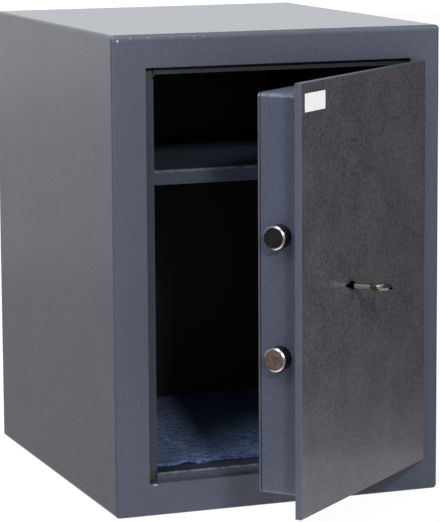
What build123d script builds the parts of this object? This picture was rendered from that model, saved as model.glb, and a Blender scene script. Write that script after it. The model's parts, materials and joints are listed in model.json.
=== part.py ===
from build123d import *
import os

# Home safe with one hinged door, a double-bit key lock and two round bolts.
# Millimetres. +Z is up and the front faces -Y. The origin is on the underside,
# midway between the two floor anchor holes. The door stands open at rest.

# Body
BODY_WIDTH = 364.0
BODY_HEIGHT = 500.0
BODY_DEPTH = 420.0
SHELL_SHEET = 3.0
SHELL_INNER_BEND = 1.0
BACK_SHEET = 3.0
LINER_SHEET = 2.0
BACK_WALL = 34.0

# Front frame and the door opening in it
FRAME_PLATE = 4.0
FRAME_EDGE_ROUND = 2.5
BORDER_LEFT = 36.5
BORDER_RIGHT = 33.0
BORDER_TOP = 34.0
BORDER_BOTTOM = 34.0

# Rebate that the door closes into: a return behind the frame, then a stop flange
STOP_GAP = 1.0
REBATE_SHEET = 3.0
STOP_LEFT = 11.0
STOP_RIGHT = 9.5
STOP_TOP = 7.5
STOP_BOTTOM = 9.0
STOP_NOTCH = 12.5
GUSSET_SIZE = 13.5
GUSSET_CUT = 5.0
GUSSET_SHEET = 2.0

# Compartment
FLOOR_RISE = 2.0
MAT_THICKNESS = 4.0
MAT_SETBACK = 60.0
MAT_SIDE_GAP = 2.0
MAT_HOLE_RADIUS = 10.0
SHELF_SHEET = 2.0
SHELF_TOP_HEIGHT = 352.5
SHELF_LIP = 15.5
SHELF_SIDE_GAP = 1.0
SHELF_BACK_GAP = 3.0
SHELF_SEAT_GAP = 0.2
SHELF_BEND = 2.5
SHELF_DOOR_GAP = 3.0
RAIL_SHEET = 2.0
RAIL_LEG = 14.0

# Anchor holes through the floor and the back wall
ANCHOR_RADIUS = 6.0
ANCHOR_SPACING = 140.0
BACK_ANCHOR_HEIGHT = 308.0
SLEEVE_WALL = 2.0

# Door leaf and the closed box behind it that holds the boltwork
DOOR_PLATE = 7.0
DOOR_GAP = 2.0
DOOR_EDGE_CHAMFER = 0.6
HINGE_BEVEL = 2.4
HINGE_BEVEL_DEPTH = 5.5
DOOR_OPEN_ANGLE = 41.0
PAN_SHEET = 3.0
PAN_DEPTH = 52.0
PAN_INSET_FREE = 29.0
PAN_INSET_HINGE = 17.0
PAN_INSET_TOP = 13.5
PAN_INSET_BOTTOM = 15.0
PAN_CORNER = 5.0
COVER_SHEET = 2.0
COVER_GAP = 1.0
POST_RADIUS = 4.5
POST_INSET = 11.0
COVER_SCREW_RADIUS = 2.0
COVER_SCREW_HEAD = 4.0
COVER_SCREW_HEAD_HEIGHT = 1.6
COVER_SCREW_LENGTH = 10.0
LABEL_WIDTH = 44.0
LABEL_HEIGHT = 18.0
LABEL_THICKNESS = 0.3
LABEL_FROM_EDGE = 8.0
LABEL_FROM_TOP = 10.5

# Hidden hinges: the pin stands behind the frame border, and a curved arm reaches round the frame edge
PIVOT_FROM_DOOR = 22.0
PIVOT_DEPTH = 13.3
PIN_RADIUS = 4.0
PIN_CLEARANCE = 0.05
PIN_HEAD_RADIUS = 5.5
PIN_HEAD_HEIGHT = 2.0
HUB_RADIUS = 6.5
NECK_INNER = 27.0
NECK_OUTER = 36.0
NECK_ROOT_WIDTH = 10.0
ARM_HEIGHT = 24.0
ARM_FROM_DOOR_END = 62.0
EAR_SHEET = 4.0
EAR_WEB = 3.0
EAR_BACK = 8.0
WASHER_THICKNESS = 1.0
HINGE_END_PLAY = 0.2
SLOT_CLEARANCE = 3.0

# Round bolts and the bar that carries them
BOLT_RADIUS = 12.0
BOLT_CLEARANCE = 0.08
BOLT_CHAMFER = 1.6
BOLT_PROTRUSION = 15.0
BOLT_THROW = 16.0
BOLT_SPACING = 121.0
BOLT_DEPTH = 37.4
BOLT_WINDOW_CLEARANCE = 3.0
BUSH_WALL = 4.0
BUSH_LENGTH = 6.0
BUSH_TO_BAR_GAP = 8.0
BAR_THICKNESS = 5.0
BAR_FRONT_DEPTH = 15.0
BAR_OVERHANG = 16.0
BOLT_SCREW_RADIUS = 4.0
BOLT_SCREW_LENGTH = 16.0
BOLT_SCREW_HEAD = 6.5
BOLT_SCREW_HEAD_HEIGHT = 6.0
SOCKET_SHARE = 0.5

# Double-bit lock
KEY_FROM_EDGE = 109.0
KEY_HEIGHT = 253.0
DRILL_PLATE = 3.0
CASE_LEFT = 35.0
CASE_RIGHT = 55.0
CASE_HALF_HEIGHT = 42.0
CASE_FRONT = 3.0
CASE_WALL = 2.5
CASE_CAVITY = 25.0
CASE_COVER = 2.0
CURTAIN_RADIUS = 11.0
CURTAIN_CLEARANCE = 0.06
CURTAIN_FLANGE_RADIUS = 13.0
CURTAIN_FLANGE = 1.5
CURTAIN_PLAY = 0.2
LOCK_BOLT_SHEET = 4.0
LOCK_BOLT_HALF_HEIGHT = 24.0
LOCK_BOLT_GAP = 1.0
LOCK_BOLT_END_WALL = 4.5
LOCK_BOLT_TAIL_HALF_HEIGHT = 9.0
TAIL_SLOT_GAP = 0.5
TAIL_FOOT = 3.0
TAIL_FOOT_DEPTH = 14.0
TAIL_SCREW_RADIUS = 2.5
TAIL_SCREW_HEAD = 4.5
TAIL_SCREW_HEAD_HEIGHT = 2.5
KEY_SWEEP_GAP = 1.2
STUMP_RADIUS = 2.5
STUMP_RIGHT_OF_KEY = 16.0
STUMP_ABOVE_KEY = 19.5
STUMP_GATE_GAP = 2.8
LEVER_COUNT = 5
LEVER_SHEET = 1.4
LEVER_PITCH = 2.0
LEVER_GAP = 1.0
LEVER_LEFT = 17.0
LEVER_RIGHT = 47.0
LEVER_TOP = 30.0
LEVER_BOTTOM = 22.0
LEVER_CORNER = 5.0
LEVER_KEY_GAP = 2.5
LEVER_PIVOT_OUT = 40.0
LEVER_PIVOT_DOWN = 14.0
LEVER_PIN_RADIUS = 3.0
LEVER_PIN_CLEARANCE = 0.08
SPRING_SHEET = 0.6
SPRING_SEAT_GAP = 0.3
SPRING_BLOCK = 6.0
SPRING_BLOCK_GAP = 0.5
LOCK_SCREW_RADIUS = 2.0
LOCK_SCREW_HEAD = 3.8
LOCK_SCREW_HEAD_HEIGHT = 2.4
LOCK_SCREW_INSET = 6.0
LOCK_SCREW_BITE = 4.0

# Key
KEY_SHAFT_RADIUS = 3.0
KEY_TIP_RADIUS = 2.4
KEY_FIT = 0.08
KEY_BIT_RADIUS = 9.5
KEY_BIT_THICKNESS = 2.8
KEY_BIT_LENGTH = 21.0
KEY_BIT_START = 12.0
KEY_BIT_STEPS = (0.0, 1.8, 0.8, 2.6, 1.2, 2.2, 0.4)
KEY_SLOT_GAP = 0.35
KEY_STEM_OUT = 24.0
KEY_COLLAR_RADIUS = 4.2
KEY_COLLAR_LENGTH = 3.0
KEY_COLLAR_GAP = 1.0
BOW_LENGTH = 24.0
BOW_WIDTH = 25.0
BOW_THICKNESS = 3.2
BOW_RIM = 4.2
BOW_ROUND = 0.8

# Places that follow from the sizes above
FRONT = -BODY_DEPTH / 2
BACK = BODY_DEPTH / 2
OPEN_LEFT = -BODY_WIDTH / 2 + BORDER_LEFT
OPEN_RIGHT = BODY_WIDTH / 2 - BORDER_RIGHT
OPEN_BOTTOM = BORDER_BOTTOM
OPEN_TOP = BODY_HEIGHT - BORDER_TOP
FRAME_BACK = FRONT + FRAME_PLATE
STOP_FACE = FRONT + max(DOOR_PLATE, FRAME_PLATE) + STOP_GAP
STOP_BACK = STOP_FACE + REBATE_SHEET
SHELL_INSIDE = BODY_WIDTH / 2 - SHELL_SHEET

LINER_LEFT = OPEN_LEFT + STOP_LEFT
LINER_RIGHT = OPEN_RIGHT - STOP_RIGHT
LINER_FLOOR = OPEN_BOTTOM + FLOOR_RISE
LINER_CEILING = OPEN_TOP - STOP_TOP
LINER_BACK = BACK - BACK_WALL

DOOR_LEFT = OPEN_LEFT + DOOR_GAP
DOOR_RIGHT = OPEN_RIGHT - DOOR_GAP
DOOR_BOTTOM = OPEN_BOTTOM + DOOR_GAP
DOOR_TOP = OPEN_TOP - DOOR_GAP
DOOR_BACK = FRONT + DOOR_PLATE
PAN_LEFT = DOOR_LEFT + PAN_INSET_FREE
PAN_RIGHT = DOOR_RIGHT - PAN_INSET_HINGE
PAN_BOTTOM = DOOR_BOTTOM + PAN_INSET_BOTTOM
PAN_TOP = DOOR_TOP - PAN_INSET_TOP
PAN_BACK = DOOR_BACK + PAN_DEPTH
COVER_FRONT = PAN_BACK + COVER_GAP
COVER_BACK = COVER_FRONT + COVER_SHEET
DOOR_MIDDLE = (DOOR_BOTTOM + DOOR_TOP) / 2

SHELF_FRONT = COVER_BACK + SHELF_DOOR_GAP
SHELF_UNDERSIDE = SHELF_TOP_HEIGHT - SHELF_SHEET
SIDE_BOARD_FRONT = SHELF_FRONT
BOARD_FRONT = STOP_BACK + GUSSET_SHEET

PIVOT_X = DOOR_RIGHT + PIVOT_FROM_DOOR
PIVOT_Y = FRONT + PIVOT_DEPTH
HINGE_AXIS = Axis((PIVOT_X, PIVOT_Y, 0), (0, 0, 1))
ARM_HEIGHTS = (DOOR_BOTTOM + ARM_FROM_DOOR_END, DOOR_TOP - ARM_FROM_DOOR_END)

BOLT_Y = FRONT + BOLT_DEPTH
BOLT_HEIGHTS = (DOOR_MIDDLE + BOLT_SPACING / 2, DOOR_MIDDLE - BOLT_SPACING / 2)
BOLT_TIP = PAN_LEFT - BOLT_PROTRUSION
BUSH_END = PAN_LEFT + PAN_SHEET + BUSH_LENGTH
BAR_LEFT = BUSH_END + BOLT_THROW + BUSH_TO_BAR_GAP
BAR_RIGHT = BAR_LEFT + BAR_THICKNESS
BAR_BOTTOM = BOLT_HEIGHTS[1] - BAR_OVERHANG
BAR_TOP = BOLT_HEIGHTS[0] + BAR_OVERHANG
BAR_FRONT = FRONT + BAR_FRONT_DEPTH
BAR_BACK = BOLT_Y + BOLT_RADIUS

KEY_X = DOOR_LEFT + KEY_FROM_EDGE
KEY_Z = KEY_HEIGHT
CASE_FACE = DOOR_BACK + DRILL_PLATE
CAVITY_FRONT = CASE_FACE + CASE_FRONT
CAVITY_BACK = CAVITY_FRONT + CASE_CAVITY
CASE_BACK = CAVITY_BACK + CASE_COVER
LOCK_BOLT_FRONT = CAVITY_FRONT + CURTAIN_PLAY + CURTAIN_FLANGE + LOCK_BOLT_GAP
LOCK_BOLT_BACK = LOCK_BOLT_FRONT + LOCK_BOLT_SHEET
LEVERS_FRONT = LOCK_BOLT_BACK + LEVER_GAP
LEVERS_BACK = LEVERS_FRONT + (LEVER_COUNT - 1) * LEVER_PITCH + LEVER_SHEET
LEVER_PIVOT_X = KEY_X + LEVER_PIVOT_OUT
LEVER_PIVOT_Z = KEY_Z - LEVER_PIVOT_DOWN
KEY_SWEEP = KEY_BIT_RADIUS + KEY_SWEEP_GAP
STUMP_X = KEY_X + STUMP_RIGHT_OF_KEY
STUMP_Z = KEY_Z + STUMP_ABOVE_KEY
STUMP_LENGTH = LEVERS_BACK - LOCK_BOLT_BACK
TAIL_SCREW_Y = (LOCK_BOLT_BACK + LOCK_BOLT_BACK + TAIL_FOOT_DEPTH) / 2
BIT_FRONT = FRONT + KEY_BIT_START
KEY_TIP = CAVITY_BACK + CASE_COVER / 2


def block(x_range, y_range, z_range):
    """Rectangular block between two opposite corners."""
    ranges = (x_range, y_range, z_range)
    centre = [(low + high) / 2 for low, high in ranges]
    return Pos(*centre) * Box(*[high - low for low, high in ranges])


def rod(start, length, radius, along):
    """Round rod from its start point, lying along the X, Y or Z axis."""
    turn = {"X": Rot(0, 90, 0), "Y": Rot(-90, 0, 0), "Z": Rot(0, 0, 0)}[along]
    on_end = (Align.CENTER, Align.CENTER, Align.MIN)
    return Pos(*start) * turn * Cylinder(radius, length, align=on_end)


def rounded_slab(x_range, y_range, z_range, corner):
    """Slab whose four edges along Y are rounded."""
    slab = block(x_range, y_range, z_range)
    return fillet(slab.edges().filter_by(Axis.Y), corner)


def together(shapes):
    """Several separate solids kept in one node."""
    return Compound(children=list(shapes))


def cap_screw(start, length, radius, head_radius, head_height, along, towards=1):
    """Screw with a round head and a hexagon socket, its shank starting under the head."""
    shank = rod((0, 0, 0), length, radius, "Z")
    head = rod((0, 0, -head_height), head_height, head_radius, "Z")
    socket_depth = head_height * SOCKET_SHARE
    socket = Pos(0, 0, -head_height) * extrude(RegularPolygon(radius, 6), socket_depth)
    turn = {"X": Rot(0, 90 * towards, 0), "Y": Rot(-90 * towards, 0, 0)}[along]
    return Pos(*start) * turn * (head + shank - socket)


def anchor_spots():
    """The two anchor positions on either side of the middle."""
    return (-ANCHOR_SPACING / 2, ANCHOR_SPACING / 2)


def floor_anchor_holes(radius, low, high):
    return [rod((x, 0, low), high - low, radius, "Z") for x in anchor_spots()]


def back_anchor_holes(radius, low, high):
    return [rod((x, low, BACK_ANCHOR_HEIGHT), high - low, radius, "Y") for x in anchor_spots()]


# Body

def outer_shell():
    """Sheet wrapped round the four sides, with rounded bends along its long edges."""
    bend = SHELL_INNER_BEND + SHELL_SHEET
    half = BODY_WIDTH / 2
    wrap = rounded_slab((-half, half), (FRAME_BACK, BACK), (0, BODY_HEIGHT), bend)
    bore = rounded_slab((-SHELL_INSIDE, SHELL_INSIDE), (FRAME_BACK, BACK),
                        (SHELL_SHEET, BODY_HEIGHT - SHELL_SHEET), SHELL_INNER_BEND)
    return wrap - bore - floor_anchor_holes(ANCHOR_RADIUS, 0, SHELL_SHEET)


def back_panel():
    """Plate set into the back of the wrap."""
    panel = rounded_slab((-SHELL_INSIDE, SHELL_INSIDE), (BACK - BACK_SHEET, BACK),
                         (SHELL_SHEET, BODY_HEIGHT - SHELL_SHEET), SHELL_INNER_BEND)
    return panel - back_anchor_holes(ANCHOR_RADIUS, BACK - BACK_SHEET, BACK)


def front_frame():
    """Front plate with the door opening and softly rounded outer edges."""
    bend = SHELL_INNER_BEND + SHELL_SHEET
    half = BODY_WIDTH / 2
    plate = rounded_slab((-half, half), (FRONT, FRAME_BACK), (0, BODY_HEIGHT), bend)
    front_face = plate.faces().sort_by(Axis.Y)[0]
    plate = fillet(front_face.outer_wire().edges(), FRAME_EDGE_ROUND)
    return plate - block((OPEN_LEFT, OPEN_RIGHT), (FRONT, FRAME_BACK), (OPEN_BOTTOM, OPEN_TOP))


def hinge_slots():
    """Room that the hinge arms need through the stop flange and the liner wall."""
    half = ARM_HEIGHT / 2 + SLOT_CLEARANCE
    x_range = (LINER_RIGHT - SLOT_CLEARANCE, OPEN_RIGHT + REBATE_SHEET)
    y_range = (FRAME_BACK, PIVOT_Y + NECK_OUTER + SLOT_CLEARANCE)
    return [block(x_range, y_range, (z - half, z + half)) for z in ARM_HEIGHTS]


def rebate_left():
    turn_back = block((OPEN_LEFT - REBATE_SHEET, OPEN_LEFT), (FRAME_BACK, STOP_BACK),
                      (OPEN_BOTTOM, OPEN_TOP))
    flange = block((OPEN_LEFT, OPEN_LEFT + STOP_LEFT), (STOP_FACE, STOP_BACK),
                   (OPEN_BOTTOM + STOP_NOTCH, OPEN_TOP - STOP_NOTCH))
    return turn_back + flange


def rebate_right():
    turn_back = block((OPEN_RIGHT, OPEN_RIGHT + REBATE_SHEET), (FRAME_BACK, STOP_BACK),
                      (OPEN_BOTTOM, OPEN_TOP))
    flange = block((OPEN_RIGHT - STOP_RIGHT, OPEN_RIGHT), (STOP_FACE, STOP_BACK),
                   (OPEN_BOTTOM + STOP_NOTCH, OPEN_TOP - STOP_NOTCH))
    return turn_back + flange - hinge_slots()


def rebate_top():
    turn_back = block((OPEN_LEFT, OPEN_RIGHT), (FRAME_BACK, STOP_BACK),
                      (OPEN_TOP, OPEN_TOP + REBATE_SHEET))
    flange = block((OPEN_LEFT + STOP_LEFT, OPEN_RIGHT - STOP_RIGHT), (STOP_FACE, STOP_BACK),
                   (OPEN_TOP - STOP_TOP, OPEN_TOP))
    return turn_back + flange


def rebate_bottom():
    turn_back = block((OPEN_LEFT, OPEN_RIGHT), (FRAME_BACK, STOP_BACK),
                      (OPEN_BOTTOM - REBATE_SHEET, OPEN_BOTTOM))
    flange = block((OPEN_LEFT + STOP_LEFT, OPEN_RIGHT - STOP_RIGHT), (STOP_FACE, STOP_BACK),
                   (OPEN_BOTTOM, OPEN_BOTTOM + STOP_BOTTOM))
    return turn_back + flange


def gusset_plates():
    """Square plates behind the four corners of the stop flange, each with its inner corner cut."""
    y_range = (STOP_BACK, STOP_BACK + GUSSET_SHEET)
    sides = ((OPEN_LEFT, OPEN_LEFT + GUSSET_SIZE), (OPEN_RIGHT - GUSSET_SIZE, OPEN_RIGHT))
    ends = ((OPEN_BOTTOM, OPEN_BOTTOM + GUSSET_SIZE), (OPEN_TOP - GUSSET_SIZE, OPEN_TOP))
    opening_middle = ((OPEN_LEFT + OPEN_RIGHT) / 2, STOP_BACK, (OPEN_BOTTOM + OPEN_TOP) / 2)
    plates = []
    for x_range in sides:
        for z_range in ends:
            plate = block(x_range, y_range, z_range)
            inner_corner = plate.edges().filter_by(Axis.Y).sort_by_distance(opening_middle)[0]
            plates.append(chamfer(inner_corner, GUSSET_CUT))
    return plates


def inner_liner():
    """Compartment box: floor, ceiling, two sides and a back, open at the front."""
    box = block((LINER_LEFT - LINER_SHEET, LINER_RIGHT + LINER_SHEET),
                (STOP_BACK, LINER_BACK + LINER_SHEET),
                (LINER_FLOOR - LINER_SHEET, LINER_CEILING + LINER_SHEET))
    box -= block((LINER_LEFT, LINER_RIGHT), (STOP_BACK, LINER_BACK), (LINER_FLOOR, LINER_CEILING))
    reach = BOLT_RADIUS + BOLT_WINDOW_CLEARANCE
    for z in BOLT_HEIGHTS:
        box -= block((LINER_LEFT - LINER_SHEET, LINER_LEFT),
                     (BOLT_Y - reach, BOLT_Y + reach), (z - reach, z + reach))
    box = box - hinge_slots() - gusset_plates()
    box -= floor_anchor_holes(ANCHOR_RADIUS, LINER_FLOOR - LINER_SHEET, LINER_FLOOR)
    return box - back_anchor_holes(ANCHOR_RADIUS, LINER_BACK, LINER_BACK + LINER_SHEET)


def fire_boards():
    """Five insulating boards between the liner and the shell, cut round the anchor sleeves."""
    top = BODY_HEIGHT - SHELL_SHEET
    liner_base = LINER_FLOOR - LINER_SHEET
    liner_roof = LINER_CEILING + LINER_SHEET
    liner_end = LINER_BACK + LINER_SHEET
    full_width = (-SHELL_INSIDE, SHELL_INSIDE)
    sleeve = ANCHOR_RADIUS + SLEEVE_WALL
    bottom_board = block(full_width, (BOARD_FRONT, liner_end), (SHELL_SHEET, liner_base))
    bottom_board -= floor_anchor_holes(sleeve, SHELL_SHEET, liner_base)
    top_board = block(full_width, (BOARD_FRONT, liner_end), (liner_roof, top))
    left_board = block((-SHELL_INSIDE, LINER_LEFT - LINER_SHEET), (SIDE_BOARD_FRONT, liner_end),
                       (liner_base, liner_roof))
    right_board = block((LINER_RIGHT + LINER_SHEET, SHELL_INSIDE), (SIDE_BOARD_FRONT, liner_end),
                        (liner_base, liner_roof))
    back_board = block(full_width, (liner_end, BACK - BACK_SHEET), (SHELL_SHEET, top))
    back_board -= back_anchor_holes(sleeve, liner_end, BACK - BACK_SHEET)
    boards = [bottom_board, top_board, left_board, right_board, back_board]
    corner_trim = rounded_slab(full_width, (BOARD_FRONT, BACK - BACK_SHEET), (SHELL_SHEET, top),
                               SHELL_INNER_BEND)
    return together((board & corner_trim).solids()[0] for board in boards)


def anchor_sleeves():
    """Tubes that line the anchor holes through the insulation."""
    outer = ANCHOR_RADIUS + SLEEVE_WALL
    low, high = SHELL_SHEET, LINER_FLOOR - LINER_SHEET
    near, far = LINER_BACK + LINER_SHEET, BACK - BACK_SHEET
    tubes = floor_anchor_holes(outer, low, high) + back_anchor_holes(outer, near, far)
    bores = (floor_anchor_holes(ANCHOR_RADIUS, low, high)
             + back_anchor_holes(ANCHOR_RADIUS, near, far))
    return together(tube - bore for tube, bore in zip(tubes, bores))


def floor_mat():
    """Felt mat on the compartment floor, cut back so that the closed door clears it."""
    mat = block((LINER_LEFT + MAT_SIDE_GAP, LINER_RIGHT - MAT_SIDE_GAP),
                (FRONT + MAT_SETBACK, LINER_BACK - MAT_SIDE_GAP),
                (LINER_FLOOR, LINER_FLOOR + MAT_THICKNESS))
    return mat - floor_anchor_holes(MAT_HOLE_RADIUS, LINER_FLOOR, LINER_FLOOR + MAT_THICKNESS)


def shelf():
    """Loose shelf folded down at the front and at the back."""
    x_range = (LINER_LEFT + SHELF_SIDE_GAP, LINER_RIGHT - SHELF_SIDE_GAP)
    shelf_back = LINER_BACK - SHELF_BACK_GAP
    low = SHELF_TOP_HEIGHT - SHELF_LIP
    folded = block(x_range, (SHELF_FRONT, shelf_back), (low, SHELF_TOP_HEIGHT))
    bends = folded.edges().filter_by(Axis.X).group_by(Axis.Z)[-1]
    folded = fillet(bends, SHELF_BEND)
    inside = block(x_range, (SHELF_FRONT + SHELF_SHEET, shelf_back - SHELF_SHEET),
                   (low, SHELF_UNDERSIDE))
    return folded - inside


def shelf_rail(side):
    """Angle welded to one side wall under the shelf: side is -1 on the left, 1 on the right."""
    wall = LINER_LEFT if side < 0 else LINER_RIGHT
    y_range = (SHELF_FRONT + SHELF_SHEET + SHELF_SIDE_GAP,
               LINER_BACK - SHELF_BACK_GAP - SHELF_SHEET - SHELF_SIDE_GAP)
    seat = SHELF_UNDERSIDE - SHELF_SEAT_GAP
    edges = sorted((wall, wall - side * RAIL_LEG))
    upright_edges = sorted((wall, wall - side * RAIL_SHEET))
    ledge = block(edges, y_range, (seat - RAIL_SHEET, seat))
    upright = block(upright_edges, y_range, (seat - RAIL_LEG, seat))
    return ledge + upright


# Hinges

def hinge_bracket(arm_height):
    """Two ears and a web, welded behind the frame border, that hold one hinge pin."""
    below = ARM_HEIGHT / 2 + WASHER_THICKNESS + HINGE_END_PLAY
    above = ARM_HEIGHT / 2 + HINGE_END_PLAY
    x_range = (PIVOT_X - HUB_RADIUS, SHELL_INSIDE)
    y_range = (FRAME_BACK, PIVOT_Y + EAR_BACK)
    low, high = arm_height - below - EAR_SHEET, arm_height + above + EAR_SHEET
    lower_ear = block(x_range, y_range, (low, low + EAR_SHEET))
    upper_ear = block(x_range, y_range, (high - EAR_SHEET, high))
    web = block((SHELL_INSIDE - EAR_WEB, SHELL_INSIDE), y_range, (low, high))
    return lower_ear + upper_ear + web - rod((PIVOT_X, PIVOT_Y, low), high - low, PIN_RADIUS, "Z")


def hinge_pins():
    """One headed pin for each hinge, dropped through both ears and the arm."""
    pins = []
    for z in ARM_HEIGHTS:
        low = z - ARM_HEIGHT / 2 - WASHER_THICKNESS - HINGE_END_PLAY - EAR_SHEET
        high = z + ARM_HEIGHT / 2 + HINGE_END_PLAY + EAR_SHEET
        pin = rod((PIVOT_X, PIVOT_Y, low), high - low, PIN_RADIUS, "Z")
        pins.append(pin + rod((PIVOT_X, PIVOT_Y, high), PIN_HEAD_HEIGHT, PIN_HEAD_RADIUS, "Z"))
    return together(pins)


def hinge_washers():
    """Brass thrust washers under the two hinge arms."""
    washers = []
    for z in ARM_HEIGHTS:
        low = z - ARM_HEIGHT / 2 - WASHER_THICKNESS - HINGE_END_PLAY
        ring = rod((PIVOT_X, PIVOT_Y, low), WASHER_THICKNESS, HUB_RADIUS, "Z")
        washers.append(ring - rod((PIVOT_X, PIVOT_Y, low), WASHER_THICKNESS, PIN_RADIUS, "Z"))
    return together(washers)


def hinge_arm(arm_height):
    """Cranked arm: a hub on the pin, a root that points back and a neck that curves to the door."""
    neck = Circle(NECK_OUTER) - Circle(NECK_INNER)
    corner = (Align.MAX, Align.MIN)
    neck &= Rectangle(NECK_OUTER, NECK_OUTER, align=corner)
    root = Rectangle(NECK_ROOT_WIDTH, NECK_OUTER, align=(Align.CENTER, Align.MIN))
    root -= Circle(PIN_RADIUS)
    foot_length = PIVOT_DEPTH - DOOR_PLATE
    foot = Rectangle(NECK_OUTER - NECK_INNER, foot_length, align=(Align.MIN, Align.MAX))
    outline = neck + root + Pos(-NECK_OUTER, 0) * foot + Circle(HUB_RADIUS)
    outline -= Circle(PIN_RADIUS + PIN_CLEARANCE)
    return Pos(PIVOT_X, PIVOT_Y, arm_height - ARM_HEIGHT / 2) * extrude(outline, ARM_HEIGHT)


# Door

def keyhole(low, high):
    """Keyhole in a door plate: a round hole for the stem and a level slot for the two bits."""
    slot_half = KEY_BIT_RADIUS + KEY_SLOT_GAP
    slot_rise = KEY_BIT_THICKNESS / 2 + KEY_SLOT_GAP
    slot = block((KEY_X - slot_half, KEY_X + slot_half), (low, high),
                 (KEY_Z - slot_rise, KEY_Z + slot_rise))
    return slot + rod((KEY_X, low, KEY_Z), high - low, KEY_SHAFT_RADIUS + KEY_FIT, "Y")


def lock_screw_spots():
    left, right = KEY_X - CASE_LEFT + LOCK_SCREW_INSET, KEY_X + CASE_RIGHT - LOCK_SCREW_INSET
    low = KEY_Z - CASE_HALF_HEIGHT + LOCK_SCREW_INSET
    high = KEY_Z + CASE_HALF_HEIGHT - LOCK_SCREW_INSET
    return [(x, z) for x in (left, right) for z in (low, high)]


def lock_screw_holes(low, high):
    return [rod((x, low, z), high - low, LOCK_SCREW_RADIUS, "Y") for x, z in lock_screw_spots()]


def hinge_bevel():
    """Wedge off the back of the hinge edge, which lets the edge swing past the frame."""
    wedge = Polygon((DOOR_RIGHT, DOOR_BACK), (DOOR_RIGHT - HINGE_BEVEL, DOOR_BACK),
                    (DOOR_RIGHT, DOOR_BACK - HINGE_BEVEL_DEPTH), align=None)
    return Pos(0, 0, DOOR_BOTTOM) * extrude(wedge, DOOR_TOP - DOOR_BOTTOM, dir=(0, 0, 1))


def door_plate():
    """Thick front plate of the door, with the keyhole and blind holes for the lock screws."""
    plate = block((DOOR_LEFT, DOOR_RIGHT), (FRONT, DOOR_BACK), (DOOR_BOTTOM, DOOR_TOP))
    front_face = plate.faces().sort_by(Axis.Y)[0]
    plate = chamfer(front_face.outer_wire().edges(), DOOR_EDGE_CHAMFER)
    plate = plate - keyhole(FRONT, DOOR_BACK) - hinge_bevel()
    return plate - lock_screw_holes(DOOR_BACK - LOCK_SCREW_BITE, DOOR_BACK)


def blank_label():
    """Plain sticker near the top of the free edge."""
    left = DOOR_LEFT + LABEL_FROM_EDGE
    top = DOOR_TOP - LABEL_FROM_TOP
    return block((left, left + LABEL_WIDTH), (FRONT - LABEL_THICKNESS, FRONT),
                 (top - LABEL_HEIGHT, top))


def post_spots():
    """Six places round the inside of the pan where the cover is screwed down."""
    left, right = PAN_LEFT + POST_INSET, PAN_RIGHT - POST_INSET
    heights = (PAN_BOTTOM + POST_INSET, DOOR_MIDDLE, PAN_TOP - POST_INSET)
    return [(x, z) for x in (left, right) for z in heights]


def door_pan():
    """Folded box wall round the boltwork, welded to the back of the plate."""
    outer = rounded_slab((PAN_LEFT, PAN_RIGHT), (DOOR_BACK, PAN_BACK), (PAN_BOTTOM, PAN_TOP),
                         PAN_CORNER)
    inner = block((PAN_LEFT + PAN_SHEET, PAN_RIGHT - PAN_SHEET), (DOOR_BACK, PAN_BACK),
                  (PAN_BOTTOM + PAN_SHEET, PAN_TOP - PAN_SHEET))
    pan = outer - inner
    for z in BOLT_HEIGHTS:
        pan -= rod((PAN_LEFT, BOLT_Y, z), PAN_SHEET, BOLT_RADIUS + BOLT_CLEARANCE, "X")
    return pan


def cover_posts():
    """Threaded posts on the back of the plate that carry the cover and take its screws."""
    posts = []
    for x, z in post_spots():
        post = rod((x, DOOR_BACK, z), COVER_FRONT - DOOR_BACK, POST_RADIUS, "Y")
        thread_depth = COVER_SCREW_LENGTH - COVER_SHEET
        posts.append(post - rod((x, COVER_FRONT - thread_depth, z), thread_depth,
                                COVER_SCREW_RADIUS, "Y"))
    return together(posts)


def back_cover():
    """Sheet behind the pan, held by its posts with a narrow gap to the pan's rim."""
    cover = rounded_slab((PAN_LEFT, PAN_RIGHT), (COVER_FRONT, COVER_BACK), (PAN_BOTTOM, PAN_TOP),
                         PAN_CORNER)
    return cover - [rod((x, COVER_FRONT, z), COVER_SHEET, COVER_SCREW_RADIUS, "Y")
                    for x, z in post_spots()]


def cover_screws():
    return together(cap_screw((x, COVER_BACK, z), COVER_SCREW_LENGTH, COVER_SCREW_RADIUS,
                              COVER_SCREW_HEAD, COVER_SCREW_HEAD_HEIGHT, "Y", towards=-1)
                    for x, z in post_spots())


# Boltwork

def bolt_bushes():
    """Guide collars welded inside the pan wall."""
    bushes = []
    for z in BOLT_HEIGHTS:
        start = (PAN_LEFT + PAN_SHEET, BOLT_Y, z)
        collar = rod(start, BUSH_LENGTH, BOLT_RADIUS + BUSH_WALL, "X")
        bushes.append(collar - rod(start, BUSH_LENGTH, BOLT_RADIUS + BOLT_CLEARANCE, "X"))
    return together(bushes)


def round_bolt(z):
    """Turned bolt with a chamfered end, tapped at the back for its screw."""
    bolt = rod((BOLT_TIP, BOLT_Y, z), BAR_LEFT - BOLT_TIP, BOLT_RADIUS, "X")
    tip = bolt.faces().sort_by(Axis.X)[0]
    bolt = chamfer(tip.edges(), BOLT_CHAMFER)
    thread_depth = BOLT_SCREW_LENGTH - BAR_THICKNESS
    return bolt - rod((BAR_LEFT - thread_depth, BOLT_Y, z), thread_depth, BOLT_SCREW_RADIUS, "X")


def bolt_bar():
    """Upright bar that joins both bolts to the lock bolt."""
    bar = block((BAR_LEFT, BAR_RIGHT), (BAR_FRONT, BAR_BACK), (BAR_BOTTOM, BAR_TOP))
    for z in BOLT_HEIGHTS:
        bar -= rod((BAR_LEFT, BOLT_Y, z), BAR_THICKNESS, BOLT_SCREW_RADIUS, "X")
    return bar - rod((BAR_LEFT, TAIL_SCREW_Y, KEY_Z), BAR_THICKNESS, TAIL_SCREW_RADIUS, "X")


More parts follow.
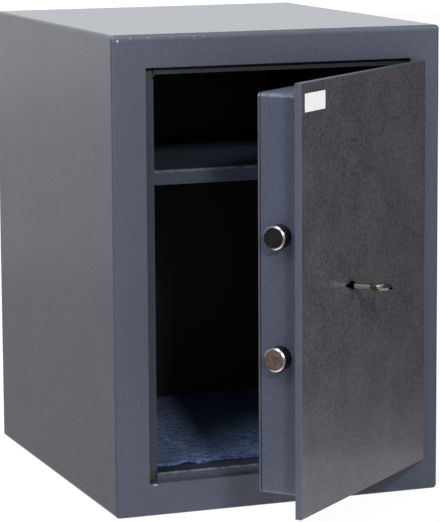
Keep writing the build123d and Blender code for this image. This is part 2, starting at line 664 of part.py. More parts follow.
def bolt_screws():
    return together(cap_screw((BAR_RIGHT, BOLT_Y, z), BOLT_SCREW_LENGTH, BOLT_SCREW_RADIUS,
                              BOLT_SCREW_HEAD, BOLT_SCREW_HEAD_HEIGHT, "X", towards=-1)
                    for z in BOLT_HEIGHTS)


def tail_screw():
    length = TAIL_FOOT + BAR_THICKNESS
    return cap_screw((BAR_RIGHT + TAIL_FOOT, TAIL_SCREW_Y, KEY_Z), length, TAIL_SCREW_RADIUS,
                     TAIL_SCREW_HEAD, TAIL_SCREW_HEAD_HEIGHT, "X", towards=-1)


# Lock

def case_block(low, high, inset=0.0):
    return block((KEY_X - CASE_LEFT + inset, KEY_X + CASE_RIGHT - inset), (low, high),
                 (KEY_Z - CASE_HALF_HEIGHT + inset, KEY_Z + CASE_HALF_HEIGHT - inset))


def drill_plate():
    """Hardened plate between the door plate and the lock."""
    plate = case_block(DOOR_BACK, CASE_FACE) - keyhole(DOOR_BACK, CASE_FACE)
    return plate - lock_screw_holes(DOOR_BACK, CASE_FACE)


def lock_case():
    """Lock box, open at the back, with a side slot for the tail of the lock bolt."""
    case = case_block(CASE_FACE, CAVITY_BACK) - case_block(CAVITY_FRONT, CAVITY_BACK, CASE_WALL)
    case -= rod((KEY_X, CASE_FACE, KEY_Z), CASE_FRONT, CURTAIN_RADIUS + CURTAIN_CLEARANCE, "Y")
    tail = LOCK_BOLT_TAIL_HALF_HEIGHT + TAIL_SLOT_GAP
    case -= block((KEY_X - CASE_LEFT, KEY_X - CASE_LEFT + CASE_WALL),
                  (LOCK_BOLT_FRONT - TAIL_SLOT_GAP, LOCK_BOLT_BACK + TAIL_SLOT_GAP),
                  (KEY_Z - tail, KEY_Z + tail))
    return case - lock_screw_holes(CASE_FACE, CAVITY_FRONT)


def lock_cover():
    """Plate that closes the lock case and steadies the tip of the key."""
    cover = case_block(CAVITY_BACK, CASE_BACK) - lock_screw_holes(CAVITY_BACK, CASE_BACK)
    tip_hole = rod((KEY_X, CAVITY_BACK, KEY_Z), CASE_COVER, KEY_TIP_RADIUS + KEY_FIT, "Y")
    return cover - tip_hole


def lock_screws():
    length = CASE_BACK - DOOR_BACK + LOCK_SCREW_BITE
    return together(cap_screw((x, CASE_BACK, z), length, LOCK_SCREW_RADIUS, LOCK_SCREW_HEAD,
                              LOCK_SCREW_HEAD_HEIGHT, "Y", towards=-1)
                    for x, z in lock_screw_spots())


def key_curtain():
    """Slotted disc that turns with the key and covers the keyhole behind it."""
    face = CASE_FACE + CURTAIN_PLAY
    flange_front = CAVITY_FRONT + CURTAIN_PLAY
    disc = rod((KEY_X, face, KEY_Z), flange_front - face, CURTAIN_RADIUS, "Y")
    disc += rod((KEY_X, flange_front, KEY_Z), CURTAIN_FLANGE, CURTAIN_FLANGE_RADIUS, "Y")
    return disc - keyhole(face, flange_front + CURTAIN_FLANGE)


def lock_bolt():
    """Flat bolt that the key drives: a window for the key, a stump, a tail and a foot on the bar."""
    y_range = (LOCK_BOLT_FRONT, LOCK_BOLT_BACK)
    left = KEY_X - KEY_SWEEP - LOCK_BOLT_END_WALL
    window_right = KEY_X + KEY_SWEEP + BOLT_THROW
    right = window_right + LOCK_BOLT_END_WALL
    tail_z = (KEY_Z - LOCK_BOLT_TAIL_HALF_HEIGHT, KEY_Z + LOCK_BOLT_TAIL_HALF_HEIGHT)
    body = block((left, right), y_range,
                 (KEY_Z - LOCK_BOLT_HALF_HEIGHT, KEY_Z + LOCK_BOLT_HALF_HEIGHT))
    body -= block((KEY_X - KEY_SWEEP, window_right), y_range,
                  (KEY_Z - KEY_SWEEP, KEY_Z + KEY_SWEEP))
    body += block((BAR_RIGHT, left), y_range, tail_z)
    foot = block((BAR_RIGHT, BAR_RIGHT + TAIL_FOOT),
                 (LOCK_BOLT_FRONT, LOCK_BOLT_BACK + TAIL_FOOT_DEPTH), tail_z)
    foot -= rod((BAR_RIGHT, TAIL_SCREW_Y, KEY_Z), TAIL_FOOT, TAIL_SCREW_RADIUS, "X")
    stump = rod((STUMP_X, LOCK_BOLT_BACK, STUMP_Z), STUMP_LENGTH, STUMP_RADIUS, "Y")
    return body + foot + stump


def lever(front):
    """One lever: a key window, a gate that the stump runs in, and a hole for the pivot pin."""
    y_range = (front, front + LEVER_SHEET)
    plate = rounded_slab((KEY_X - LEVER_LEFT, KEY_X + LEVER_RIGHT), y_range,
                         (KEY_Z - LEVER_BOTTOM, KEY_Z + LEVER_TOP), LEVER_CORNER)
    plate -= rod((KEY_X, front, KEY_Z), LEVER_SHEET, KEY_SWEEP + LEVER_KEY_GAP, "Y")
    reach = STUMP_RADIUS + STUMP_GATE_GAP
    plate -= block((STUMP_X - BOLT_THROW - reach, STUMP_X + reach), y_range,
                   (STUMP_Z - reach, STUMP_Z + reach))
    pivot = (LEVER_PIVOT_X, front, LEVER_PIVOT_Z)
    return plate - rod(pivot, LEVER_SHEET, LEVER_PIN_RADIUS + LEVER_PIN_CLEARANCE, "Y")


def levers():
    return together(lever(LEVERS_FRONT + i * LEVER_PITCH) for i in range(LEVER_COUNT))


def lever_pin():
    """Pin across the case that the levers turn on."""
    return rod((LEVER_PIVOT_X, CAVITY_FRONT, LEVER_PIVOT_Z), CASE_CAVITY, LEVER_PIN_RADIUS, "Y")


def lever_springs():
    """Comb of leaf springs, riveted under the roof of the case, one leaf on each lever."""
    roof = KEY_Z + CASE_HALF_HEIGHT - CASE_WALL
    right = KEY_X + CASE_RIGHT - LOCK_SCREW_INSET - LOCK_SCREW_RADIUS - SPRING_BLOCK_GAP
    seat = KEY_Z + LEVER_TOP + SPRING_SEAT_GAP + SPRING_SHEET / 2
    comb = block((right - SPRING_BLOCK, right), (LEVERS_FRONT, LEVERS_BACK),
                 (roof - SPRING_BLOCK, roof))
    start = (right - SPRING_BLOCK / 2, roof - SPRING_BLOCK / 2)
    leaf_line = Polyline(start, (KEY_X + LEVER_LEFT, (start[1] + seat) / 2), (KEY_X, seat))
    for i in range(LEVER_COUNT):
        y = LEVERS_FRONT + i * LEVER_PITCH + LEVER_SHEET
        leaf = Plane((0, y, 0), x_dir=(1, 0, 0), z_dir=(0, -1, 0)) * trace(leaf_line, SPRING_SHEET)
        comb += extrude(leaf, LEVER_SHEET)
    return comb


# Key

def key():
    """Double-bit key, fully in, with its bow level."""
    bit_back = BIT_FRONT + KEY_BIT_LENGTH
    stem_front = FRONT - KEY_STEM_OUT
    stem = rod((KEY_X, stem_front, KEY_Z), bit_back - stem_front, KEY_SHAFT_RADIUS, "Y")
    stem += rod((KEY_X, bit_back, KEY_Z), KEY_TIP - bit_back, KEY_TIP_RADIUS, "Y")
    collar_front = FRONT - KEY_COLLAR_GAP - KEY_COLLAR_LENGTH
    stem += rod((KEY_X, collar_front, KEY_Z), KEY_COLLAR_LENGTH, KEY_COLLAR_RADIUS, "Y")
    step = KEY_BIT_LENGTH / len(KEY_BIT_STEPS)
    half = KEY_BIT_THICKNESS / 2
    for i, cut in enumerate(KEY_BIT_STEPS):
        reach = KEY_BIT_RADIUS - cut
        stem += block((KEY_X - reach, KEY_X + reach), (BIT_FRONT + i * step, BIT_FRONT + (i + 1) * step),
                      (KEY_Z - half, KEY_Z + half))
    ring = Ellipse(BOW_WIDTH / 2, BOW_LENGTH / 2)
    ring -= Ellipse(BOW_WIDTH / 2 - BOW_RIM, BOW_LENGTH / 2 - BOW_RIM)
    bow = extrude(ring, BOW_THICKNESS)
    bow = fillet(bow.edges(), BOW_ROUND)
    bow_centre = stem_front - BOW_LENGTH / 2 + BOW_RIM / 2
    return stem + Pos(KEY_X, bow_centre, KEY_Z - BOW_THICKNESS / 2) * bow


BODY_NODES = {
    "outer_shell": outer_shell(),
    "back_panel": back_panel(),
    "front_frame": front_frame(),
    "rebate_left": rebate_left(),
    "rebate_right": rebate_right(),
    "rebate_top": rebate_top(),
    "rebate_bottom": rebate_bottom(),
    "corner_gussets": together(gusset_plates()),
    "inner_liner": inner_liner(),
    "fire_boards": fire_boards(),
    "anchor_sleeves": anchor_sleeves(),
    "floor_mat": floor_mat(),
    "shelf": shelf(),
    "shelf_rail_left": shelf_rail(-1),
    "shelf_rail_right": shelf_rail(1),
    "hinge_bracket_lower": hinge_bracket(ARM_HEIGHTS[0]),
    "hinge_bracket_upper": hinge_bracket(ARM_HEIGHTS[1]),
    "hinge_pins": hinge_pins(),
    "hinge_washers": hinge_washers(),
}

DOOR_NODES = {
    "hinge_arm_lower": hinge_arm(ARM_HEIGHTS[0]),
    "hinge_arm_upper": hinge_arm(ARM_HEIGHTS[1]),
    "door_plate": door_plate(),
    "blank_label": blank_label(),
    "door_pan": door_pan(),
    "cover_posts": cover_posts(),
    "back_cover": back_cover(),
    "cover_screws": cover_screws(),
    "bolt_bushes": bolt_bushes(),
    "bolt_upper": round_bolt(BOLT_HEIGHTS[0]),
    "bolt_lower": round_bolt(BOLT_HEIGHTS[1]),
    "bolt_bar": bolt_bar(),
    "bolt_screws": bolt_screws(),
    "tail_screw": tail_screw(),
    "drill_plate": drill_plate(),
    "lock_case": lock_case(),
    "lock_cover": lock_cover(),
    "lock_screws": lock_screws(),
    "key_curtain": key_curtain(),
    "lock_bolt": lock_bolt(),
    "levers": levers(),
    "lever_pin": lever_pin(),
    "lever_springs": lever_springs(),
    "key": key(),
}

os.makedirs("parts", exist_ok=True)
for name, shape in BODY_NODES.items():
    export_step(shape, f"parts/{name}.step")
for name, shape in DOOR_NODES.items():
    export_step(shape.rotate(HINGE_AXIS, DOOR_OPEN_ANGLE), f"parts/{name}.step")
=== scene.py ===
import json
import math
import random

import bpy
from mathutils import Euler, Matrix, Vector


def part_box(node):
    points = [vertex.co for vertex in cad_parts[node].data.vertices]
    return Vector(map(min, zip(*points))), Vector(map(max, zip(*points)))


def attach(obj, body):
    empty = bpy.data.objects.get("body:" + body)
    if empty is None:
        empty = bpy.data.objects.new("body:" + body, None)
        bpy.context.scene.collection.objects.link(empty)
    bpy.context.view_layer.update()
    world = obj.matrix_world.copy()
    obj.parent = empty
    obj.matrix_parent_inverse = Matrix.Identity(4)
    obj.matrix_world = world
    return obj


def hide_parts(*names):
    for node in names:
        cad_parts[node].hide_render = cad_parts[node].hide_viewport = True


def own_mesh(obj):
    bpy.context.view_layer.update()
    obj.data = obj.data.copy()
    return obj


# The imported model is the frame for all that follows. Metres, +Z up, the cabinet's front faces -Y.
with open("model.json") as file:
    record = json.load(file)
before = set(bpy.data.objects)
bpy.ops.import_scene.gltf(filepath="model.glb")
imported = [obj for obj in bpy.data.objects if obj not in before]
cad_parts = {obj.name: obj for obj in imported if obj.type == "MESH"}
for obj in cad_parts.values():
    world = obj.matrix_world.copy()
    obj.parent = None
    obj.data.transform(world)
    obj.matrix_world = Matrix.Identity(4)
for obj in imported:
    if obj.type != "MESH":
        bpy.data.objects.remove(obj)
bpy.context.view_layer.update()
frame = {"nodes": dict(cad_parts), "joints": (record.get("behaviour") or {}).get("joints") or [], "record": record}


# Outer shell and back panel. One steel sheet is wrapped round the four sides with rounded bends, and a
# plate is welded into its back. Both carry a satin blue-grey powder coat with a fine pebbled skin.
def paint(red, green, blue):
    """Shader colour of a paint given as the 0-255 values of a colour card."""
    def linear(value):
        share = value / 255
        return share / 12.92 if share <= 0.04045 else ((share + 0.055) / 1.055) ** 2.4
    return linear(red), linear(green), linear(blue), 1.0


def shader_of(finish):
    """The node that holds a finish's colour, shine and relief."""
    return finish.node_tree.nodes["Principled BSDF"]


def new_finish(name, **sockets):
    """A material whose constant values sit on its shader's own sockets."""
    finish = bpy.data.materials.new(name)
    finish.use_nodes = True
    for socket, value in sockets.items():
        shader_of(finish).inputs[socket.replace("_", " ")].default_value = value
    return finish


def step(finish, kind, inputs=None, **settings):
    """One more node in a finish. Its inputs are plain values or the outputs of earlier nodes."""
    tree = finish.node_tree
    node = tree.nodes.new(kind)
    for key, value in settings.items():
        setattr(node, key, value)
    for key, value in (inputs or {}).items():
        if isinstance(value, bpy.types.NodeSocket):
            tree.links.new(value, node.inputs[key])
        else:
            node.inputs[key].default_value = value
    return node


def feed(finish, socket, output):
    """Links an output to one of the shader's sockets."""
    finish.node_tree.links.new(output, shader_of(finish).inputs[socket])


def noise(finish, place, size, detail=2.0, rough=0.5):
    """Smooth random field whose lumps are about size across."""
    made = step(finish, "ShaderNodeTexNoise",
                {"Vector": place, "Scale": 1 / size, "Detail": detail, "Roughness": rough})
    return made.outputs["Fac"]


def stretch(finish, value, low, high, to_low=0.0, to_high=1.0):
    """Value from low..high spread over to_low..to_high, and held at its ends."""
    return step(finish, "ShaderNodeMapRange",
                {"Value": value, "From Min": low, "From Max": high,
                 "To Min": to_low, "To Max": to_high}).outputs["Result"]


def sums(finish, operation, first, second=0.0, third=0.0):
    """Result of one arithmetic step on plain values or outputs."""
    return step(finish, "ShaderNodeMath", {0: first, 1: second, 2: third},
                operation=operation).outputs["Value"]


def between(finish, share, first, second):
    """Colour that goes from first to second with share."""
    return step(finish, "ShaderNodeMix", {"Factor": share, "A": first, "B": second},
                data_type="RGBA").outputs["Result"]


def relief(finish, height, depth, under=None):
    """Bumps of that depth in metres, laid over the relief under them."""
    inputs = {"Height": height, "Distance": depth, "Strength": 1.0}
    if under is not None:
        inputs["Normal"] = under
    return step(finish, "ShaderNodeBump", inputs).outputs["Normal"]


def object_place(finish):
    """Place of each point of a surface, in metres in the frame."""
    return step(finish, "ShaderNodeTexCoord").outputs["Object"]


PEBBLE_SHARE = 0.85
FILM_DRIFT = 0.09
COAT_SPREAD = (0.36, 0.64)


def powder_coat(name, dark, light, pebble, depth, roughness):
    """Baked powder paint: pebbles of one size, and a slow drift from thick to thin film."""
    finish = new_finish(name, Roughness=roughness)
    place = object_place(finish)
    pebbles = noise(finish, place, size=pebble, rough=0.55)
    drift = noise(finish, place, size=FILM_DRIFT)
    shade = sums(finish, "MULTIPLY_ADD", pebbles, PEBBLE_SHARE,
                 sums(finish, "MULTIPLY", drift, 1 - PEBBLE_SHARE))
    feed(finish, "Base Color", between(finish, stretch(finish, shade, *COAT_SPREAD), dark, light))
    feed(finish, "Normal", relief(finish, pebbles, depth))
    return finish


def coat_node(finish, *names):
    """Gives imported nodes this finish."""
    for name in names:
        materials = frame["nodes"][name].data.materials
        materials.clear()
        materials.append(finish)


# The shell's copy of the coat is painted a little greyer than the frame's, to stand in for the more neutral light
# that falls on the sides.
shell_coat = powder_coat("shell_coat", paint(64, 68, 80), paint(83, 87, 99),
                         pebble=0.0018, depth=0.00010, roughness=0.24)
coat_node(shell_coat, "outer_shell", "back_panel")

# Front frame. A 4 mm plate with the door opening, welded to the front of the shell and coated with it.
# A pale band painted along its top edge is the highlight of its rounded edge, and a few chips at two corners show
# its white base.
frame_low, frame_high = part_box("front_frame")
opening_low, opening_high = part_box("corner_gussets")
EDGE_HIGHLIGHT = 0.0062
EDGE_HIGHLIGHT_END = 0.4
CHIP_CRUMBS = 0.0012
CHIP_RAGGED = 1.4
CHIP_RIM = 1.9
CHIP_BARE = 1.6
# Each chip is given by how far it is across and down from a corner, and how far it reaches. The first
# are measured from the frame's upper left corner, the others from the opening's lower left corner.
EDGE_CHIPS = ((0.0070, 0.0060, 0.0012), (0.0210, 0.0035, 0.0005), (0.0400, 0.0035, 0.0006),
              (0.0640, 0.0040, 0.0004), (0.0890, 0.0035, 0.0005), (0.1000, 0.0040, 0.0004))
SILL_CHIPS = ((0.0050, 0.0015, 0.0006), (0.0063, 0.0014, 0.0008), (0.0079, 0.0015, 0.0007))
front_chips = [((frame_low.x + across, frame_low.y, frame_high.z - down), reach)
               for across, down, reach in EDGE_CHIPS]
front_chips += [((opening_low.x + across, frame_low.y, opening_low.z - down), reach)
                for across, down, reach in SILL_CHIPS]


def height_on(finish):
    """Height of each point of a surface above the ground."""
    return step(finish, "ShaderNodeSeparateXYZ", {"Vector": object_place(finish)}).outputs["Z"]


def laid_over(finish, share, colour):
    """Lays one more colour over those that a finish has so far."""
    so_far = shader_of(finish).inputs["Base Color"].links[0].from_socket
    feed(finish, "Base Color", between(finish, share, so_far, colour))


def chipped(finish, chips, pale_colour):
    """Lays ragged spots of the paint's base colour over a finish. A chip is its place and its reach."""
    place = object_place(finish)
    ragged = noise(finish, place, size=CHIP_CRUMBS, detail=3.0, rough=0.6)
    worn = 0.0
    for spot, reach in chips:
        away = step(finish, "ShaderNodeVectorMath", {0: place, 1: spot},
                    operation="DISTANCE").outputs["Value"]
        ring = sums(finish, "MULTIPLY_ADD", ragged, reach * CHIP_RAGGED, away)
        worn = sums(finish, "MAXIMUM", worn,
                    stretch(finish, ring, reach * CHIP_RIM, reach * CHIP_BARE))
    laid_over(finish, worn, pale_colour)


front_coat = powder_coat("front_coat", paint(67, 72, 87), paint(81, 86, 102),
                         pebble=0.0016, depth=0.00010, roughness=0.38)
# Painted highlight: a pale band along the frame's top edge.
painted_edge_highlight = stretch(front_coat, height_on(front_coat),
                frame_high.z - EDGE_HIGHLIGHT, frame_high.z - EDGE_HIGHLIGHT * EDGE_HIGHLIGHT_END)
laid_over(front_coat, painted_edge_highlight, paint(103, 108, 123))
chipped(front_coat, front_chips, paint(186, 190, 196))
coat_node(front_coat, "front_frame")

# Rebate. Four bent strips behind the frame form the step that the closed door rests against, and a
# gusset with a cut corner closes each corner behind them. The strips are dark slate, the gussets olive
# primer. A black band under the frame's top edge and the darker top strip are painted shade.
SHADE_BAND_HEIGHT = 0.0036
BAND_WANDER = 0.0005
BAND_BLEND = 0.0003
shade_band_edge = opening_high.z - SHADE_BAND_HEIGHT


def paint_recess_shade(finish):
    """Paints the band under the frame's top edge black and duller, as the shade that falls there."""
    coat_roughness = shader_of(finish).inputs["Roughness"].default_value
    ragged = noise(finish, object_place(finish), size=0.004)
    band = sums(finish, "MULTIPLY_ADD", ragged, BAND_WANDER, height_on(finish))
    # Painted shade: black and rough in the band under the frame's top edge.
    painted_shade = stretch(finish, band, shade_band_edge, shade_band_edge + BAND_BLEND)
    laid_over(finish, painted_shade, paint(8, 8, 11))
    feed(finish, "Roughness", stretch(finish, painted_shade, 0.0, 1.0, to_low=coat_roughness, to_high=0.9))


rebate_coat = powder_coat("rebate_coat", paint(35, 41, 55), paint(45, 52, 67),
                          pebble=0.0018, depth=0.00012, roughness=0.5)
paint_recess_shade(rebate_coat)
coat_node(rebate_coat, "rebate_left", "rebate_right")
# The top strip has a darker copy of the rebate coat, as painted shade under the frame's top edge.
shaded_rebate_top = powder_coat("shaded_rebate_top", paint(21, 24, 32), paint(32, 36, 46),
                         pebble=0.003, depth=0.00012, roughness=0.5)
paint_recess_shade(shaded_rebate_top)
coat_node(shaded_rebate_top, "rebate_top")
sill_coat = powder_coat("sill_coat", paint(56, 61, 74), paint(72, 77, 92),
                        pebble=0.003, depth=0.00012, roughness=0.5)
SILL_HIGHLIGHT = 0.0016
HIGHLIGHT_BLEND = 0.0005
sill_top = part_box("rebate_bottom")[1].z


def patches(finish, size, low, high, detail=3.0, rough=0.6):
    """Ragged patches about size across, which come in where the noise goes from low to high."""
    return stretch(finish, noise(finish, object_place(finish), size, detail, rough), low, high)


def paint_highlight_above(finish, level, pale_colour):
    """Paints a pale highlight, broken into ragged patches, along the edge above this level."""
    edge = stretch(finish, height_on(finish), level, level + HIGHLIGHT_BLEND)
    laid_over(finish, sums(finish, "MULTIPLY", edge, patches(finish, 0.009, 0.36, 0.6)), pale_colour)


# Painted highlight along the sill's top edge.
paint_highlight_above(sill_coat, sill_top - SILL_HIGHLIGHT, paint(112, 122, 140))
coat_node(sill_coat, "rebate_bottom")
gusset_primer = powder_coat("gusset_primer", paint(40, 39, 32), paint(55, 53, 44),
                            pebble=0.0022, depth=0.0003, roughness=0.5)
paint_recess_shade(gusset_primer)
coat_node(gusset_primer, "corner_gussets")

# Inner liner. A second steel box that makes the compartment. It is painted near black as the shade deep
# inside it, and its floor a paler slate as the colour it shows where light reaches it.
shaded_liner_coat = powder_coat("shaded_liner_coat", paint(10, 10, 13), paint(15, 16, 20),
                         pebble=0.002, depth=0.00015, roughness=0.6)
LINER_SHEET = 0.002
LIT_FLOOR_TOP = 0.003
LIT_FLOOR_FULL = 0.001
liner_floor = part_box("inner_liner")[0].z + LINER_SHEET
# Painted light and shade: slate on the floor, near black on the walls above it.
lit_floor_colour = stretch(shaded_liner_coat, height_on(shaded_liner_coat), liner_floor + LIT_FLOOR_TOP, liner_floor + LIT_FLOOR_FULL)
laid_over(shaded_liner_coat, lit_floor_colour, paint(52, 58, 75))
coat_node(shaded_liner_coat, "inner_liner", "shelf_rail_left", "shelf_rail_right")

# Insulation between liner and shell, and the steel sleeves that carry the anchor bolts through it.
# The boards are pale pressed mineral fibre, and the sleeves are cut from zinc-plated tube.
board_face = new_finish("board_face", Roughness=0.95)
board_fibre = noise(board_face, object_place(board_face), size=0.003, detail=5.0, rough=0.7)
feed(board_face, "Base Color", between(board_face, stretch(board_face, board_fibre, 0.3, 0.7),
                                       paint(176, 170, 158), paint(214, 209, 198)))
feed(board_face, "Normal", relief(board_face, board_fibre, depth=0.0006))
coat_node(board_face, "fire_boards")


def bare_metal(name, dark, light, roughness, grain, depth):
    """Uncoated metal: fine marks of the size of its grain, and a slow change of tone."""
    finish = new_finish(name, Metallic=1.0)
    place = object_place(finish)
    marks = noise(finish, place, size=grain, detail=4.0, rough=0.65)
    tone = noise(finish, place, size=0.02, detail=3.0, rough=0.6)
    feed(finish, "Base Color", between(finish, stretch(finish, tone, 0.35, 0.65), dark, light))
    feed(finish, "Roughness", stretch(finish, marks, 0.3, 0.7,
                                      to_low=roughness * 0.8, to_high=roughness * 1.25))
    feed(finish, "Normal", relief(finish, marks, depth))
    return finish


zinc_plate = bare_metal("zinc_plate", paint(150, 152, 158), paint(190, 192, 196),
                        roughness=0.34, grain=0.001, depth=0.00003)
coat_node(zinc_plate, "anchor_sleeves")

# Shelf. A loose 2 mm tray folded down at the front and the back, which rests on two angle rails. Its
# slate paint has rubbed thin along the front bend, where it shows a paler line.
shelf_low, shelf_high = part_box("shelf")
SHELF_RUB = 0.0016
shelf_coat = powder_coat("shelf_coat", paint(58, 66, 82), paint(71, 80, 97),
                         pebble=0.0018, depth=0.00012, roughness=0.45)
shelf_place = step(shelf_coat, "ShaderNodeSeparateXYZ", {"Vector": object_place(shelf_coat)})
rub_height = stretch(shelf_coat, shelf_place.outputs["Z"], shelf_high.z - SHELF_RUB * 2,
                     shelf_high.z - SHELF_RUB * 0.6)
rub_depth = stretch(shelf_coat, shelf_place.outputs["Y"], shelf_low.y + SHELF_RUB * 2,
                    shelf_low.y + SHELF_RUB)
rub_bend = sums(shelf_coat, "MULTIPLY", rub_height, rub_depth)
rubbed = sums(shelf_coat, "MULTIPLY", rub_bend, patches(shelf_coat, 0.006, 0.35, 0.6))
laid_over(shelf_coat, rubbed, paint(120, 125, 132))
coat_node(shelf_coat, "shelf")

# Floor mat. A loose rectangle of blue-grey needle felt, cut by hand to cover the compartment floor. Its
# front edge waves and stands a little off the steel, and two holes give access to the floor anchors.
mat_low, mat_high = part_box("floor_mat")
MAT_THICKNESS = 0.0032
MAT_LIFT = 0.0004
MAT_MESH = 0.0025
MAT_HOLE = 0.010
PUNCH_LENGTH = 0.04
CUT_WAVES = 6
WAVE_LENGTHS = (0.02, 0.09)
WAVE_HEIGHTS = (0.0004, 0.0011)
CUT_BORDER = 0.03
WAVE_ACROSS = 0.9
WAVE_UP = 0.25
EDGE_PULL = 0.0012
EDGE_CURL = 0.0005
FUZZ_SIZE = 0.004
FUZZ_HEIGHT = 0.0005
FIBRE_SIZE = 0.0011
FIBRE_DEPTH = 0.0009
FIBRE_SHARE = 0.55
TUFT_SIZE = 0.006
TUFT_DEPTH = 0.0012
LINT_SIZE = 0.003
anchors = next(mount for mount in frame["record"]["mounts"] if mount["name"] == "floor_anchors")
anchor_reach = anchors["dims"]["spacing_x_mm"] / 1000 / 2
mat_holes = [anchors["pos_m"][0] + side * anchor_reach for side in (-1, 1)]


def only(piece):
    """Selects one piece alone and makes it the active one."""
    bpy.ops.object.select_all(action="DESELECT")
    piece.select_set(True)
    bpy.context.view_layer.objects.active = piece


def named(name):
    """The piece just added, under its own name."""
    piece = bpy.context.object
    piece.name = name
    piece.data.name = name
    return piece


def fixed(piece):
    """Puts a piece's place, turn and size into its mesh."""
    only(piece)
    bpy.ops.object.transform_apply(location=True, rotation=True, scale=True)


def finished_with(piece, kind, **settings):
    """Adds one modifier and applies it."""
    only(piece)
    modifier = piece.modifiers.new(kind.lower(), kind)
    for key, value in settings.items():
        setattr(modifier, key, value)
    bpy.ops.object.modifier_apply(modifier=modifier.name)


mat_size = mat_high - mat_low
bpy.ops.object.select_all(action="DESELECT")
bpy.ops.mesh.primitive_grid_add(x_subdivisions=round(mat_size.x / MAT_MESH),
                                y_subdivisions=round(mat_size.y / MAT_MESH), size=1.0,
                                location=((mat_low.x + mat_high.x) / 2, (mat_low.y + mat_high.y) / 2,
                                          mat_low.z + MAT_LIFT + MAT_THICKNESS))
felt_mat = named("felt_mat")
felt_mat.scale = (mat_size.x, mat_size.y, 1.0)
fixed(felt_mat)
cut = random.Random(7)
front_waves = [(cut.uniform(*WAVE_LENGTHS), cut.uniform(0, math.tau), cut.uniform(*WAVE_HEIGHTS))
               for _ in range(CUT_WAVES)]
for vertex in felt_mat.data.vertices:
    near_front = max(0.0, 1 - (vertex.co.y - mat_low.y) / CUT_BORDER)
    wave = sum(tall * math.sin(math.tau * vertex.co.x / length + phase)
               for length, phase, tall in front_waves)
    vertex.co.y += near_front ** 2 * (EDGE_PULL + wave * WAVE_ACROSS)
    vertex.co.z += near_front ** 1.5 * (EDGE_CURL + wave * WAVE_UP)
for spot in mat_holes:
    bpy.ops.mesh.primitive_cylinder_add(vertices=40, radius=MAT_HOLE, depth=PUNCH_LENGTH,
                                        location=(spot, anchors["pos_m"][1], mat_low.z))
    punch = named("punch")
    finished_with(felt_mat, "BOOLEAN", object=punch, operation="DIFFERENCE", solver="EXACT")
    bpy.data.objects.remove(punch)
finished_with(felt_mat, "SOLIDIFY", thickness=MAT_THICKNESS, offset=-1.0)
felt_fuzz = bpy.data.textures.new("felt_fuzz", "CLOUDS")
felt_fuzz.noise_scale = FUZZ_SIZE
finished_with(felt_mat, "DISPLACE", texture=felt_fuzz, texture_coords="LOCAL", strength=FUZZ_HEIGHT,
              mid_level=0.7)
bpy.ops.object.shade_smooth_by_angle(angle=math.radians(50))

felt = new_finish("felt", Roughness=0.95, Sheen_Weight=0.05, Sheen_Roughness=0.5,
                  Specular_IOR_Level=0.1)
felt_place = object_place(felt)
felt_fibres = noise(felt, felt_place, size=FIBRE_SIZE, detail=6.0, rough=0.75)
felt_tufts = noise(felt, felt_place, size=TUFT_SIZE, detail=4.0, rough=0.65)
felt_depth = sums(felt, "MULTIPLY_ADD", felt_fibres, FIBRE_SHARE,
                  sums(felt, "MULTIPLY", felt_tufts, 1 - FIBRE_SHARE))
feed(felt, "Base Color", between(felt, stretch(felt, felt_depth, 0.4, 0.62),
                                 paint(28, 46, 89), paint(148, 178, 234)))
laid_over(felt, patches(felt, LINT_SIZE, 0.64, 0.68, detail=2.0), paint(168, 180, 204))
feed(felt, "Normal", relief(felt, felt_fibres, FIBRE_DEPTH, under=relief(felt, felt_tufts, TUFT_DEPTH)))
felt_mat.data.materials.append(felt)
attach(felt_mat, "cabinet")
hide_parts("floor_mat")

# Hinges. Each is a turned pin in a folded steel bracket behind the frame border, with a brass washer
# under a cranked arm that is cut from plate and painted with the door.
coat_node(zinc_plate, "hinge_bracket_lower", "hinge_bracket_upper", "hinge_pins")
plain_brass = bare_metal("plain_brass", paint(176, 146, 84), paint(206, 178, 112),
                         roughness=0.3, grain=0.001, depth=0.00003)
coat_node(plain_brass, "hinge_washers", "levers")
door_edge_coat = powder_coat("door_edge_coat", paint(80, 85, 98), paint(98, 103, 116),
                             pebble=0.0016, depth=0.0002, roughness=0.45)
coat_node(door_edge_coat, "hinge_arm_lower", "hinge_arm_upper")

# Door leaf. A 7 mm steel plate. Its face has a coarse leather-like powder coat, and its edges and back
# have the plain blue-grey coat. It stands open, turned about its hinges by door_angle.
hinge = next(joint for joint in frame["joints"] if joint["name"] == "door_swing")
door_angle = -math.radians(hinge["range_deg"][0])
door_turn = Matrix.Rotation(door_angle, 4, "Z")
door_out = door_turn @ Vector((0, -1, 0))
LEATHER_CELL = 0.0024
CELL_SCATTERS = 220.0
CELL_NUDGE = 0.0035
CELL_DEPTH = 0.00028


def reach_along(finish, output, way):
    """How far a place or a normal reaches in a direction."""
    return step(finish, "ShaderNodeVectorMath", {0: output, 1: way},
                operation="DOT_PRODUCT").outputs["Value"]


